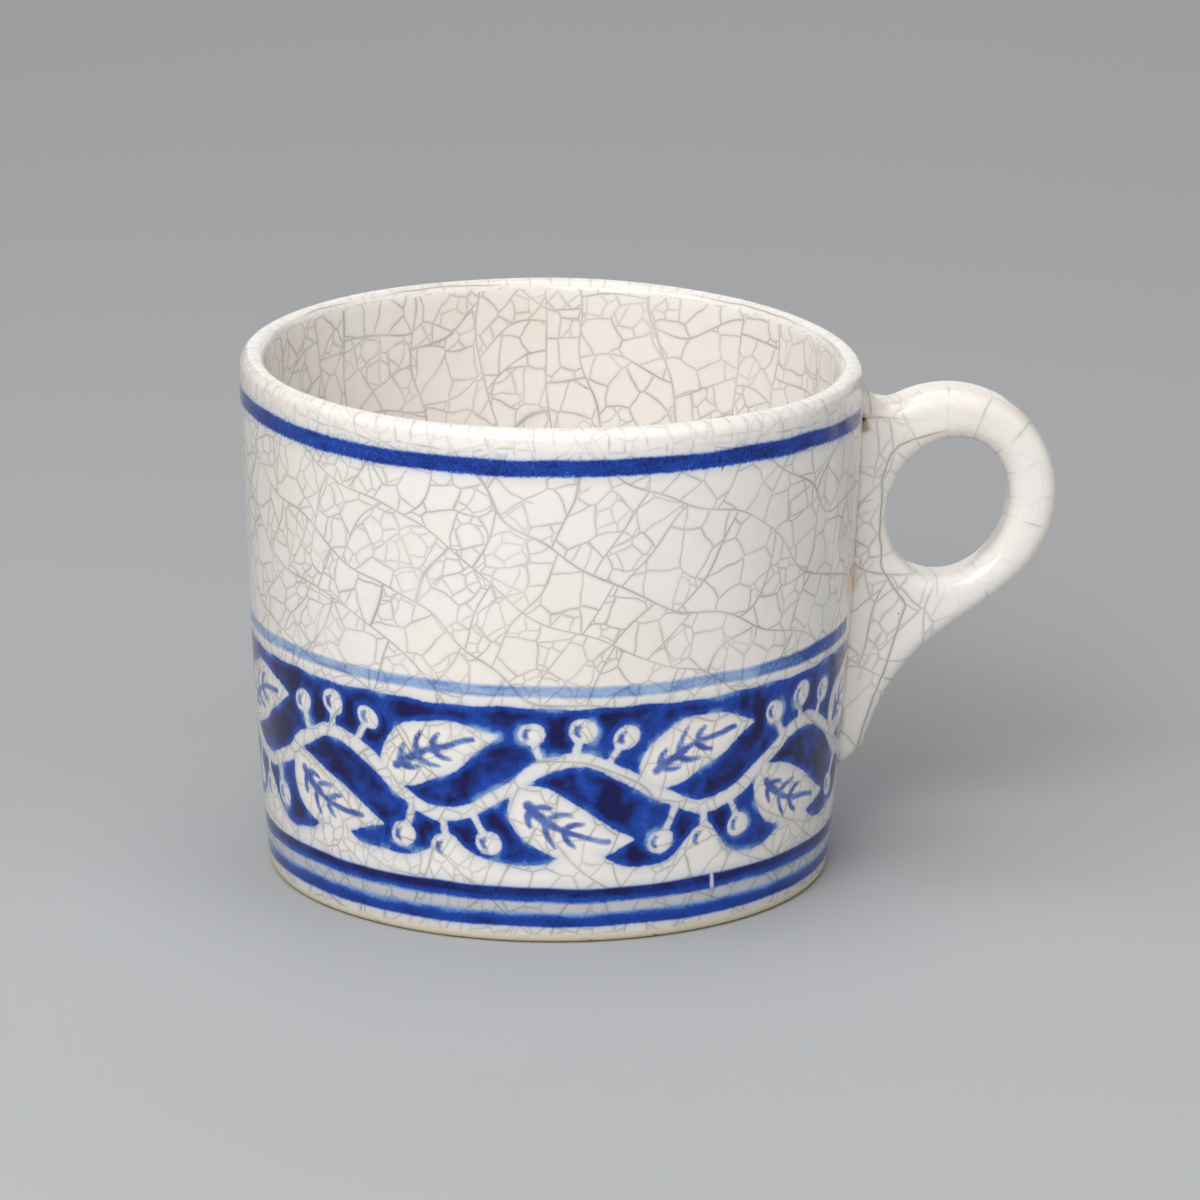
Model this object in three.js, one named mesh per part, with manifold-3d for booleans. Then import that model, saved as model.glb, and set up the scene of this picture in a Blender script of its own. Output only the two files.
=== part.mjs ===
// A low, wide stoneware mug with one loop handle, in millimetres.
// Z is the axis of the cup and the flat foot stands on Z = 0. The handle lies along +X.
// Three pieces are made apart and joined in the clay: the thrown cup, the pressed handle, whose
// ring runs out into a long tail, and the line of slip that lutes the handle to the wall.

import * as THREE from 'three';
import * as BufferGeometryUtils from 'three/addons/utils/BufferGeometryUtils.js';
import Module from 'manifold-3d';

const wasm = await Module();
wasm.setup();

// Cup
const cupHeight = 83;
const rimDiameter = 98;
const footDiameter = 88.6;
const footBevel = 1.1;
const bellyDiameter = 94; // pulls the side of the cup out above the foot
const bellyHeight = 24;
const lipThickness = 4.2;
const wallThickness = 4.9; // at the floor, thinning to the lip
const floorThickness = 5.6;
const innerCornerRadius = 9;
const dishDepth = 0.6; // the floor falls this much towards its middle

// Ring of the handle, seen from the side
const ringDiameter = 35.3;
const ringDrop = 24.3; // from the rim down to the middle of the ring
const ringStandoff = 14.3; // from the wall out to the middle of the ring
const holeWidth = 19;
const holeLength = 22.7;
const holeLean = 22; // degrees that the long axis of the hole leans out from upright
const ringSideThickness = 7.2; // across the narrow side of the hole
const ringCrownThickness = 7.8; // past the upper end of the hole
const handleWidth = 9.2;
const edgeRoundShare = 0.48; // of the ring where it is thinnest
const neckFillet = 3.8; // hollow curve from the ring up to the lip

// Tail of the handle
const tailLeaveAngle = -44.8; // degrees round the ring, from straight out
const tailEndHeight = 18.6;
const tailEndStandoff = 4.1;
const tailEndHeading = 253.4; // degrees, the direction in which the tail runs out
const tailUpperReach = 0.37; // lengths of the curve's two handles, as shares of the tail
const tailLowerReach = 0.5;
const tipRoundExtra = 0.5; // how much blunter the tip is than the edges

// Slip between the handle and the wall
const slipThickness = 1.2;
const slipFillet = 2.5; // hollow curve at each side of the handle
const slipTipFillet = 1.5;
const slipHeight = 1.6; // how far up the handle the slip is wiped
const slipTuck = 0.3; // how far its edge runs in under the handle
const jointGap = 0.3;

// Facets
const turnSegments = 96;
const sideSteps = 12;
const lipSteps = 8;
const cornerSteps = 6;
const edgeSteps = 6;
const curveSteps = 14;
const endSteps = 12;
const lengthSteps = 16;

const clearance = 20; // how far a cutter runs past what it cuts
const degrees = Math.PI / 180;

const stoneware = { color: 0xece6de, roughness: 0.2, metalness: 0 };
const slipColour = { color: 0xe0d5c4, roughness: 0.35, metalness: 0 };

// Radius of the outside of the wall at a height. Above the lip and below the foot it runs straight.
const sideCurve = new THREE.QuadraticBezierCurve(
  new THREE.Vector2(footDiameter / 2, footBevel),
  new THREE.Vector2(bellyDiameter / 2, bellyHeight),
  new THREE.Vector2(rimDiameter / 2, cupHeight - lipThickness / 2)
);

function wallRadius(z) {
  const low = sideCurve.v0;
  const belly = sideCurve.v1;
  const high = sideCurve.v2;
  const height = THREE.MathUtils.clamp(z, low.y, high.y);
  const a = low.y - 2 * belly.y + high.y;
  const b = 2 * (belly.y - low.y);
  const c = low.y - height;
  const t = Math.abs(a) < 1e-9 ? -c / b : (Math.sqrt(b * b - 4 * a * c) - b) / (2 * a);
  return sideCurve.getPoint(THREE.MathUtils.clamp(t, 0, 1)).x;
}

// Points of an arc, from one angle to another in radians
function arcPoints(x, y, radius, from, to, steps) {
  return Array.from({ length: steps + 1 }, (_, i) => {
    const angle = THREE.MathUtils.lerp(from, to, i / steps);
    return new THREE.Vector2(x + radius * Math.cos(angle), y + radius * Math.sin(angle));
  });
}

function unique(points) {
  return points.filter((point, i) => i === 0 || point.distanceTo(points[i - 1]) > 1e-6);
}

// A profile turned about Z
function turned(points) {
  return new THREE.LatheGeometry(unique(points), turnSegments).rotateX(Math.PI / 2);
}

function toSolid(geometry) {
  const bare = geometry.clone();
  bare.deleteAttribute('normal');
  bare.deleteAttribute('uv');
  const merged = BufferGeometryUtils.mergeVertices(bare, 1e-4);
  const index = Array.from(merged.index.array);
  const corners = [];
  for (let i = 0; i < index.length; i += 3) {
    const [a, b, c] = index.slice(i, i + 3);
    if (a !== b && b !== c && c !== a) corners.push(a, b, c);
  }
  return new wasm.Manifold(new wasm.Mesh({
    numProp: 3,
    vertProperties: new Float32Array(merged.attributes.position.array),
    triVerts: new Uint32Array(corners)
  }));
}

function toGeometry(solid) {
  const mesh = solid.getMesh();
  const geometry = new THREE.BufferGeometry();
  geometry.setAttribute('position', new THREE.BufferAttribute(mesh.vertProperties, mesh.numProp));
  geometry.setIndex(new THREE.BufferAttribute(mesh.triVerts, 1));
  geometry.computeVertexNormals();
  return geometry;
}

function makeCup() {
  const lipRadius = lipThickness / 2;
  const lipX = rimDiameter / 2 - lipRadius;
  const lipZ = cupHeight - lipRadius;
  const cornerZ = floorThickness + innerCornerRadius;
  const innerRadius = (z) => {
    const share = (z - cornerZ) / (lipZ - cornerZ);
    return wallRadius(z) - THREE.MathUtils.lerp(wallThickness, lipThickness, share);
  };
  const inside = Array.from({ length: sideSteps + 1 }, (_, i) => {
    const z = THREE.MathUtils.lerp(lipZ, cornerZ, i / sideSteps);
    return new THREE.Vector2(innerRadius(z), z);
  });
  const cornerX = innerRadius(cornerZ) - innerCornerRadius;
  return turned([
    new THREE.Vector2(0, 0),
    new THREE.Vector2(footDiameter / 2 - footBevel, 0),
    ...sideCurve.getPoints(sideSteps),
    ...arcPoints(lipX, lipZ, lipRadius, 0, Math.PI, lipSteps),
    ...inside,
    ...arcPoints(cornerX, cornerZ, innerCornerRadius, 0, -Math.PI / 2, cornerSteps),
    new THREE.Vector2(0, floorThickness - dishDepth)
  ]);
}

// Everything inside the wall, grown outwards, to cut what is fitted against it
function wallCutter(growth) {
  const low = -clearance;
  const high = cupHeight + clearance;
  return toSolid(turned([
    new THREE.Vector2(0, low),
    new THREE.Vector2(wallRadius(low) + growth, low),
    ...sideCurve.getPoints(sideSteps).map((p) => new THREE.Vector2(p.x + growth, p.y)),
    new THREE.Vector2(wallRadius(high) + growth, high),
    new THREE.Vector2(0, high)
  ]));
}

// The middle of the ring, and the neck where a hollow curve leads from the ring up the wall
const ringRadius = ringDiameter / 2;
const ringZ = cupHeight - ringDrop;
const ringX = wallRadius(ringZ) + ringStandoff;
const neckX = wallRadius(cupHeight) + neckFillet;
const neckRise = Math.sqrt((ringRadius + neckFillet) ** 2 - (ringX - neckX) ** 2);
const neckZ = ringZ + neckRise;
const neckAngle = Math.atan2(neckRise, neckX - ringX);

function reach(angle, distance) {
  return new THREE.Vector2(Math.cos(angle), Math.sin(angle)).multiplyScalar(distance);
}

// The tail's curve, from where it leaves the ring down to its tip
const leave = tailLeaveAngle * degrees;
const heading = tailEndHeading * degrees;
const tailStart = new THREE.Vector2(ringX, ringZ).add(reach(leave, ringRadius));
const tailEnd = new THREE.Vector2(wallRadius(tailEndHeight) + tailEndStandoff, tailEndHeight);
const tailLength = tailStart.distanceTo(tailEnd);
const tailCurve = new THREE.CubicBezierCurve(
  tailStart,
  tailStart.clone().add(reach(leave - Math.PI / 2, tailUpperReach * tailLength)),
  tailEnd.clone().sub(reach(heading, tailLowerReach * tailLength)),
  tailEnd
);

// The hole sits so that the ring keeps its thickness at the side and at the crown
function holeCurve() {
  const lean = -holeLean * degrees;
  const aside = ringRadius - holeWidth / 2 - ringSideThickness;
  const along = ringRadius - holeLength / 2 - ringCrownThickness;
  const x = ringX + aside * Math.cos(lean) - along * Math.sin(lean);
  const z = ringZ + aside * Math.sin(lean) + along * Math.cos(lean);
  return new THREE.Path().absellipse(x, z, holeWidth / 2, holeLength / 2, 0, 2 * Math.PI, false, lean);
}

// The edges are rounded to suit the thinnest place between the hole and the outline
const ringSide = [
  ...arcPoints(ringX, ringZ, ringRadius, leave, Math.PI / 2, 4 * curveSteps),
  ...tailCurve.getPoints(curveSteps)
];
const holeSide = holeCurve().getPoints(4 * curveSteps);
const thinnest = Math.min(...ringSide.flatMap((point) => holeSide.map((other) => point.distanceTo(other))));
const edgeRound = edgeRoundShare * thinnest;
const tipRadius = edgeRound + tipRoundExtra;
const tipCentre = tailEnd.clone().add(reach(heading - Math.PI / 2, tipRadius));

// Outline of the handle in X and Z. Its back runs deep inside the wall, where it is cut away.
function handleOutline() {
  const wallX = neckX - neckFillet;
  const backX = Math.min(wallX, tipCentre.x) - clearance;
  const topZ = neckZ + clearance;
  const shape = new THREE.Shape();
  shape.moveTo(backX, topZ);
  shape.lineTo(wallX, topZ);
  shape.lineTo(wallX, neckZ);
  shape.absarc(neckX, neckZ, neckFillet, Math.PI, Math.PI + neckAngle, false);
  shape.absarc(ringX, ringZ, ringRadius, neckAngle, leave, true);
  shape.bezierCurveTo(
    tailCurve.v1.x, tailCurve.v1.y,
    tailCurve.v2.x, tailCurve.v2.y,
    tailEnd.x, tailEnd.y
  );
  shape.absarc(tipCentre.x, tipCentre.y, tipRadius, heading + Math.PI / 2, 1.5 * Math.PI, true);
  shape.lineTo(backX, tipCentre.y - tipRadius);
  shape.holes.push(holeCurve());
  return shape;
}

// The handle with its rounded edges, grown all round, and cut to stand off the wall
function handleSolid(growth, standoff) {
  const straight = handleWidth - 2 * edgeRound;
  const geometry = new THREE.ExtrudeGeometry(handleOutline(), {
    depth: straight,
    curveSegments: curveSteps,
    bevelThickness: edgeRound + growth,
    bevelSize: edgeRound + growth,
    bevelOffset: -edgeRound,
    bevelSegments: edgeSteps
  });
  geometry.translate(0, 0, -straight / 2);
  geometry.rotateX(Math.PI / 2);
  return toSolid(geometry).subtract(wallCutter(standoff));
}

// A hollow fillet's overhang at a height above the wall
function filletOverhang(radius, above) {
  const left = Math.max(0, 1 - above / radius);
  return radius * (1 - Math.sqrt(1 - left * left));
}

// Outline of the slip at a height above the wall: long, round ended and wrapped on the wall
function slipRing(above) {
  const open = Math.max(0, above);
  const half = handleWidth / 2 - slipTuck + filletOverhang(slipFillet, open);
  const top = neckZ - slipTuck - neckFillet + filletOverhang(neckFillet, open);
  const bottom = tipCentre.y - tipRadius + slipTuck - filletOverhang(slipTipFillet, open);
  const side = [
    ...arcPoints(0, bottom + half, half, -Math.PI / 2, 0, endSteps),
    ...Array.from({ length: lengthSteps - 1 }, (_, i) => {
      return new THREE.Vector2(half, THREE.MathUtils.lerp(bottom + half, top - half, (i + 1) / lengthSteps));
    }),
    ...arcPoints(0, top - half, half, 0, Math.PI / 2, endSteps)
  ];
  const other = side.slice(1, -1).reverse().map((p) => new THREE.Vector2(-p.x, p.y));
  return [...side, ...other].map((p) => {
    const radius = wallRadius(p.y) + above;
    const turn = p.x / wallRadius(p.y);
    return new THREE.Vector3(radius * Math.cos(turn), radius * Math.sin(turn), p.y);
  });
}

// Rings of one point count joined into a closed body. Its two ends are laced from side to side.
function ringLoft(rings) {
  const count = rings[0].length;
  const faces = [];
  for (let r = 0; r + 1 < rings.length; r++) {
    for (let i = 0; i < count; i++) {
      const a = r * count + i;
      const b = r * count + (i + 1) % count;
      faces.push(a, b, b + count, a, b + count, a + count);
    }
  }
  const last = (rings.length - 1) * count;
  for (let i = 0; i < count / 2; i++) {
    const pair = [i, i + 1, count - i - 1, (count - i) % count];
    faces.push(pair[0], pair[2], pair[1], pair[0], pair[3], pair[2]);
    faces.push(last + pair[0], last + pair[1], last + pair[2]);
    faces.push(last + pair[0], last + pair[2], last + pair[3]);
  }
  const geometry = new THREE.BufferGeometry().setFromPoints(rings.flat());
  geometry.setIndex(faces);
  return geometry;
}

function makeSlip() {
  const levels = Array.from({ length: edgeSteps + 1 }, (_, i) => slipHeight * i / edgeSteps);
  const bank = toSolid(ringLoft([-slipThickness, ...levels].map(slipRing)));
  const bed = handleSolid(jointGap, slipThickness - jointGap);
  return toGeometry(bank.subtract(bed).subtract(wallCutter(jointGap)));
}

function piece(name, geometry, finish) {
  const mesh = new THREE.Mesh(geometry, new THREE.MeshStandardMaterial(finish));
  mesh.name = name;
  return mesh;
}

const mug = new THREE.Group();
mug.name = 'mug';
mug.add(
  piece('cup_body', makeCup(), stoneware),
  piece('handle', toGeometry(handleSolid(0, slipThickness)), stoneware),
  piece('luting_slip', makeSlip(), slipColour)
);

export default mug;
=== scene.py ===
"""The finish of a low stoneware mug: crackled white glaze, cobalt lines and a painted leaf border."""

import math
import random

import bpy
import numpy as np
from bpy.props import FloatProperty, FloatVectorProperty, IntProperty, PointerProperty
from mathutils import Matrix, Vector


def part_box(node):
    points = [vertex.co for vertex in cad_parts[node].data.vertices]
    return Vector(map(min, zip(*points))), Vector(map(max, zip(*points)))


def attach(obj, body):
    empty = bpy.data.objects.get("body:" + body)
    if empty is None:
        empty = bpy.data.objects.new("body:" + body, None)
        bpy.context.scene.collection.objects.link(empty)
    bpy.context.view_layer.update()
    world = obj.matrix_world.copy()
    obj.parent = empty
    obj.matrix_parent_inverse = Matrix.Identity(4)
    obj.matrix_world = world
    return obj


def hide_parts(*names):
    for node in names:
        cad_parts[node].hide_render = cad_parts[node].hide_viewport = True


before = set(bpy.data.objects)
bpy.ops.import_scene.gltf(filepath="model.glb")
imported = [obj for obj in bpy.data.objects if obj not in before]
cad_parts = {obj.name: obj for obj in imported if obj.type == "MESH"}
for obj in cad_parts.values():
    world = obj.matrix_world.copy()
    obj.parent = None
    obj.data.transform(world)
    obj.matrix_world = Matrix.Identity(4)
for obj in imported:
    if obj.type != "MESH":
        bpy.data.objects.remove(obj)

bl_info = {
    "name": "Crackle glazed mug",
    "version": (1, 0, 0),
    "blender": (4, 5, 0),
    "location": "View3D > Sidebar > Mug",
    "description": "Throws, joins, glazes and paints a stoneware mug around its packed frame",
    "category": "Object",
}

MM = 0.001
# Marks in the glaze. Each has a line between two points in millimetres, a reach, a strength and a colour.
MARKS = (
    # Rust at the neck, round a pinhole.
    ((50.2, -5.2, 73.6), (57.0, -2.6, 76.4), 1.9, 0.38, (196, 176, 136)),
    ((48.6, -5.8, 72.3), (48.9, -5.7, 70.8), 1.0, 0.7, (138, 108, 62)),
    ((48.2, -6.6, 72.6), (48.5, -5.8, 72.3), 0.5, 0.95, (40, 28, 16)),
    # Ochre patches with a dark spot, half way down the seam, and a touch at the tip of the tail.
    ((47.6, -6.2, 48.4), (47.4, -6.4, 45.2), 1.3, 0.5, (214, 190, 140)),
    ((45.5, -14.3, 49.2), (45.9, -12.6, 47.0), 2.8, 0.75, (214, 190, 140)),
    ((45.9, -13.3, 49.7), (46.3, -11.6, 49.5), 0.8, 0.85, (104, 82, 46)),
    ((49.4, -4.4, 16.6), (46.8, -4.4, 14.8), 0.55, 0.6, (120, 96, 62)),
    # Two dark flecks under the lip.
    ((21.42, -43.83, 77.06), (21.19, -43.91, 76.22), 0.28, 0.9, (18, 16, 34)),
    ((21.93, -43.53, 75.71), (21.7, -43.61, 75.03), 0.24, 0.75, (52, 50, 54)),
)
# Where the brush of the upper base line was lifted, in millimetres round the rim from the handle.
BRUSH_LIFTED = -52.6
# How far from the handle's middle plane the lines and the ground end, in millimetres.
LINES_END, GROUND_ENDS = 12.9, 7.6
# Middle of the handle's ring, in millimetres.
RING_X, RING_Z = 62.4, 58.7
# Where the ring's outline leaves its circle for the tail, in degrees.
RING_LEAVES = -44.8
WARM, PLAIN, COOL = (1.0, 0.995, 0.985), (1.0, 1.0, 1.0), (0.98, 0.99, 1.0)
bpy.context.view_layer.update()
CUP_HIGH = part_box("cup_body")[1]
HANDLE_LOW, HANDLE_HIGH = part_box("handle")


def linear(red, green, blue):
    """A colour written as 8-bit display values, in the linear values that shaders use."""
    shares = (value / 255 for value in (red, green, blue))
    return tuple(s / 12.92 if s <= 0.04045 else ((s + 0.055) / 1.055) ** 2.4 for s in shares)


def length(name, description, default):
    return FloatProperty(name=name, description=description, default=default, min=0, unit="LENGTH")


def colour(name, description, default):
    return FloatVectorProperty(
        name=name, description=description, default=default, size=3, min=0, max=1, subtype="COLOR"
    )


class CupSizes(bpy.types.PropertyGroup):
    rim_radius: length("Rim radius", "Outside of the rim", CUP_HIGH.x)
    height: length("Height", "From the foot to the top of the lip", CUP_HIGH.z)
    foot_radius: length("Foot radius", "Outside of the foot, above its bevel", 44.3 * MM)
    foot_bevel: length("Foot bevel", "Bevel round the foot", 1.1 * MM)
    belly_radius: length("Belly radius", "Pulls the side out above the foot", 47 * MM)
    belly_height: length("Belly height", "Height of that pull", 24 * MM)
    lip: length("Lip", "Thickness of the lip", 4.2 * MM)
    wall: length("Wall", "Thickness of the wall at the floor", 4.9 * MM)
    floor: length("Floor", "Thickness of the floor", 5.6 * MM)
    corner: length("Inner corner", "Radius between wall and floor", 9 * MM)
    dish: length("Dish", "Fall of the floor towards its middle", 0.6 * MM)
    wobble: length("Wobble", "How far the wall strays inwards", 0.16 * MM)
    sink: length("Sink", "How far the rim has sunk at the handle", 1.3 * MM)
    segments: IntProperty(name="Segments", description="Steps round the cup", default=134, min=12)


class HandleSizes(bpy.types.PropertyGroup):
    ring_diameter: length("Ring", "Outer diameter of the ring", 35.3 * MM)
    ring_drop: length("Ring drop", "From the rim to the middle of the ring", 24.3 * MM)
    hole_width: length("Hole width", "Narrow way across the finger hole", 19 * MM)
    hole_length: length("Hole length", "Long way across the finger hole", 22.7 * MM)
    hole_lean: FloatProperty(
        name="Hole lean", description="Lean of the hole", default=math.radians(22), subtype="ANGLE"
    )
    side: length("Side", "Thickness of the ring beside the hole", 7.2 * MM)
    crown: length("Crown", "Thickness of the ring above the hole", 7.8 * MM)
    width: length("Width", "Width of the handle", HANDLE_HIGH.y - HANDLE_LOW.y)
    edge: length("Edge", "Rounding of the edges", 3.05 * MM)
    neck: length("Neck", "Hollow curve up to the lip", 3.8 * MM)
    tail_height: length("Tail end", "Height at which the tail rounds off", 18.6 * MM)
    tail_standoff: length("Tail standoff", "How far the tail stands off there", 4.1 * MM)
    slip: length("Slip", "Thickness of the slip seam", 1.2 * MM)
    flare: length("Flare", "How far the joint is drawn out along the wall", 2.2 * MM)
    voxel: length("Voxel", "Detail of the joined clay", 0.42 * MM)


class GlazeColours(bpy.types.PropertyGroup):
    white: colour("Glaze", "White glaze", linear(240, 235, 230))
    crack: colour("Crack", "What a crack leaves of the colour under it", (0.125, 0.127, 0.12))
    clay: colour("Clay", "Bare clay of the foot", linear(226, 217, 196))
    bleed: colour("Bleed", "Cobalt bled into the glaze", linear(170, 185, 210))
    cobalt_pale: colour("Pale cobalt", "Thin wash", linear(132, 168, 214))
    cobalt_mid: colour("Cobalt", "One brush stroke", linear(16, 66, 164))
    cobalt_deep: colour("Deep cobalt", "Strokes over each other", linear(12, 12, 76))


class BorderSizes(bpy.types.PropertyGroup):
    top_line: length("Top line", "Height of the line under the lip", 77.1 * MM)
    top_line_width: length("Top line width", "Width of that line", 2.7 * MM)
    middle_line: length("Middle line", "Height of the pale line", 41.4 * MM)
    middle_line_width: length("Middle line width", "Width of that line", 1.9 * MM)
    ground_top: length("Ground top", "Top of the cobalt ground", 38.7 * MM)
    ground_low: length("Ground low", "Lower edge of the ground", 12.6 * MM)
    base_line: length("Base line", "Height of the upper base line", 8.1 * MM)
    foot_line: length("Foot line", "Height of the lower base line", 4.0 * MM)
    base_line_width: length("Base line width", "Width of both", 2.5 * MM)
    repeats: IntProperty(name="Repeats", description="Waves of the vine round the cup", default=7, min=3)


def clear_selection():
    if bpy.context.mode != "OBJECT":
        bpy.ops.object.mode_set(mode="OBJECT")
    bpy.ops.object.select_all(action="DESELECT")


def link(obj):
    bpy.context.scene.collection.objects.link(obj)


def select_only(*objects):
    clear_selection()
    for obj in objects:
        obj.select_set(True)
    bpy.context.view_layer.objects.active = objects[0]


def apply_modifier(obj, kind, **settings):
    """Adds a modifier and applies it, as its button does."""
    select_only(obj)
    modifier = obj.modifiers.new(kind.lower(), kind)
    for name, value in settings.items():
        setattr(modifier, name, value)
    bpy.ops.object.modifier_apply(modifier=modifier.name)


def apply_placing():
    bpy.ops.object.transform_apply(location=True, rotation=True, scale=True)


def mesh_points(obj):
    """The piece's vertices, in metres, one row each."""
    points = np.empty(len(obj.data.vertices) * 3)
    obj.data.vertices.foreach_get("co", points)
    return points.reshape(-1, 3)


def set_points(obj, points):
    obj.data.vertices.foreach_set("co", points.ravel())
    obj.data.update()


def write_attribute(obj, name, values):
    attribute = obj.data.attributes.new(name, "FLOAT", "POINT")
    attribute.data.foreach_set("value", values.astype(np.float32))


def polar(points):
    """Each point's angle from the handle, and its distance from the cup's axis."""
    return np.arctan2(points[:, 1], points[:, 0]), np.hypot(points[:, 0], points[:, 1])


def smooth_step(low, high, values):
    share = np.clip((values - low) / (high - low), 0, 1)
    return share * share * (3 - 2 * share)


def side_radius(z, sizes):
    """Outside of the wall at a height. Past the lip and the foot it runs straight."""
    low = sizes.foot_bevel
    high = sizes.height - sizes.lip / 2
    height = np.clip(z, low, high)
    a = low - 2 * sizes.belly_height + high
    b = 2 * (sizes.belly_height - low)
    t = (np.sqrt(b * b - 4 * a * (low - height)) - b) / (2 * a)
    return (
        (1 - t) ** 2 * sizes.foot_radius + 2 * t * (1 - t) * sizes.belly_radius + t * t * sizes.rim_radius
    )


def bezier(knots, steps):
    """Points of the Bezier curve of some knots, from the first knot to the last."""
    degree = len(knots) - 1
    points = []
    for i in range(steps + 1):
        t = i / steps
        weights = [math.comb(degree, k) * (1 - t) ** (degree - k) * t ** k for k in range(degree + 1)]
        points.append(tuple(sum(w * knot[axis] for w, knot in zip(weights, knots)) for axis in (0, 1)))
    return points


def arc(x, z, radius, start, end, steps):
    """Points of an arc after its first one, with the angles in degrees."""
    angles = (math.radians(start + (end - start) * (i + 1) / steps) for i in range(steps))
    return [(x + radius * math.cos(angle), z + radius * math.sin(angle)) for angle in angles]


def cup_profile(sizes):
    """Radius and height along the cup's skin, from the middle of the foot to the middle of the floor."""
    pole = 2 * MM
    lip = sizes.lip / 2
    lip_x = sizes.rim_radius - lip
    lip_z = sizes.height - lip
    corner_z = sizes.floor + sizes.corner
    border_top = 43 * MM

    def inner(z):
        share = (z - corner_z) / (lip_z - corner_z)
        return float(side_radius(z, sizes)) - (sizes.wall + (sizes.lip - sizes.wall) * share)

    foot = [(radius * MM, 0) for radius in (2, 22, 37, 42.2)]
    bevel = [(sizes.foot_radius - 0.95 * MM, 0.05 * MM), (sizes.foot_radius - 0.3 * MM, 0.42 * MM)]
    border = np.linspace(sizes.foot_bevel, border_top, 21)
    above = np.linspace(border_top, lip_z, 5)[1:]
    side = [(float(side_radius(z, sizes)), float(z)) for z in (*border, *above)]
    inside = [(inner(z), float(z)) for z in np.linspace(lip_z, corner_z, 5)[1:]]
    corner_x = inner(corner_z) - sizes.corner
    corner = arc(corner_x, corner_z, sizes.corner, 0, -90, 4)
    floor = [(corner_x * 0.55, sizes.floor - sizes.dish * 0.5), (pole, sizes.floor - sizes.dish)]
    return [*foot, *bevel, *side, *arc(lip_x, lip_z, lip, 0, 180, 6), *inside, *corner, *floor]


def turned(profile, segments):
    """A body turned about Z: a circle extruded ring by ring along a profile, then closed at both ends."""
    clear_selection()
    radius, z = profile[0]
    bpy.ops.mesh.primitive_circle_add(vertices=segments, radius=radius, location=(0, 0, 0), calc_uvs=False)
    body = bpy.context.active_object
    bpy.ops.object.mode_set(mode="EDIT")
    bpy.ops.mesh.select_all(action="SELECT")
    bpy.ops.transform.translate(value=(0, 0, z))
    for next_radius, next_z in profile[1:]:
        bpy.ops.mesh.extrude_region_move(TRANSFORM_OT_translate={"value": (0, 0, next_z - z)})
        grow = next_radius / radius
        bpy.ops.transform.resize(value=(grow, grow, 1), center_override=(0, 0, next_z))
        radius, z = next_radius, next_z
    bpy.ops.mesh.select_all(action="SELECT")
    bpy.ops.mesh.fill_holes(sides=0)
    bpy.ops.mesh.select_all(action="SELECT")
    bpy.ops.mesh.normals_make_consistent(inside=False)
    bpy.ops.object.mode_set(mode="OBJECT")
    return body


def wobble(points, sizes):
    """The small unevenness of a hand-made cup. It only ever takes off, so the cup keeps inside its size.

    The wall is left true at the handle, and the rim has sunk a little there.
    """
    angle, radius = polar(points)
    z = points[:, 2]
    rounds = 0.36 * np.sin(2 * angle + 0.6) + 0.24 * np.sin(3 * angle - 1.1)
    rounds += 0.16 * np.sin(7 * angle + z * 60)
    ridges = 0.24 * np.sin(z * 240 + 1.5 * np.sin(angle)) * smooth_step(4 * MM, 12 * MM, z)
    away = smooth_step(math.radians(14), math.radians(35), np.abs(angle))
    inward = sizes.wobble * (1 + rounds + ridges) / 2 * away * smooth_step(0, 3 * MM, z)
    rim = smooth_step(sizes.height - 12 * MM, sizes.height, z)
    drop = sizes.wobble * (1 + 0.6 * np.sin(angle * 3 + 2) + 0.4 * np.sin(angle * 8)) / 2 * rim
    handle_side = np.clip(points[:, 0] / sizes.rim_radius, 0, 1) ** 2
    drop += sizes.sink * handle_side * smooth_step(35 * MM, sizes.height, z)
    scale = np.where(radius > 20 * MM, (radius - inward) / np.maximum(radius, 1e-6), 1)
    return np.stack([points[:, 0] * scale, points[:, 1] * scale, z - drop], axis=1)


def stroke_distance(s, z, points, radii, around):
    """Millimetres from a brush stroke that widens and narrows along its points. Negative is inside."""
    distance = np.full(len(s), 1e3)
    for (x0, z0), (x1, z1), r0, r1 in zip(points, points[1:], radii, radii[1:]):
        ds = (s - x0 + around / 2) % around - around / 2
        dz = z - z0
        along = (x1 - x0, z1 - z0)
        size = along[0] ** 2 + along[1] ** 2
        t = np.clip((ds * along[0] + dz * along[1]) / max(size, 1e-9), 0, 1)
        gap = np.hypot(ds - t * along[0], dz - t * along[1]) - (r0 + (r1 - r0) * t)
        distance = np.minimum(distance, gap)
    return distance


def leaf(start, pull, tip, width):
    """A broad leaf, as a stroke that swells and runs out to a point, and its brushed veins."""
    steps = 18
    line = bezier((start, pull, tip), steps)
    radii = []
    for i in range(steps + 1):
        t = max(0, (i / steps - 0.1) / 0.9)
        radii.append(max(0.8 - 0.5 * i / steps, width / 2 * math.sin(math.pi * t ** 0.85) ** 0.8))
    veins = [(line[4:-2], [0.72] * 6 + [0.5] * (steps - 11))]
    for i in (5, 8, 11):
        foot = Vector(line[i])
        ahead = (Vector(line[i + 2]) - foot).normalized()
        aside = Vector((-ahead.y, ahead.x))
        size = width * 0.36 * (1 - abs(i - 8) / 10)
        for side in (-1, 1):
            end = foot + (ahead * 0.9 + aside * side * 0.85) * size
            pull = foot + aside * side * size * 0.6 + ahead * size * 0.2
            veins.append((bezier((foot, pull, end), 3), [0.52, 0.55, 0.48, 0.34]))
    return (line, radii), veins


def nearest_stroke(s, z, strokes, around):
    """Distance to the nearest of some strokes."""
    nearest = np.full(len(s), 1e3)
    for line, radii in strokes:
        nearest = np.minimum(nearest, stroke_distance(s, z, line, radii, around))
    return nearest


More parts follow.
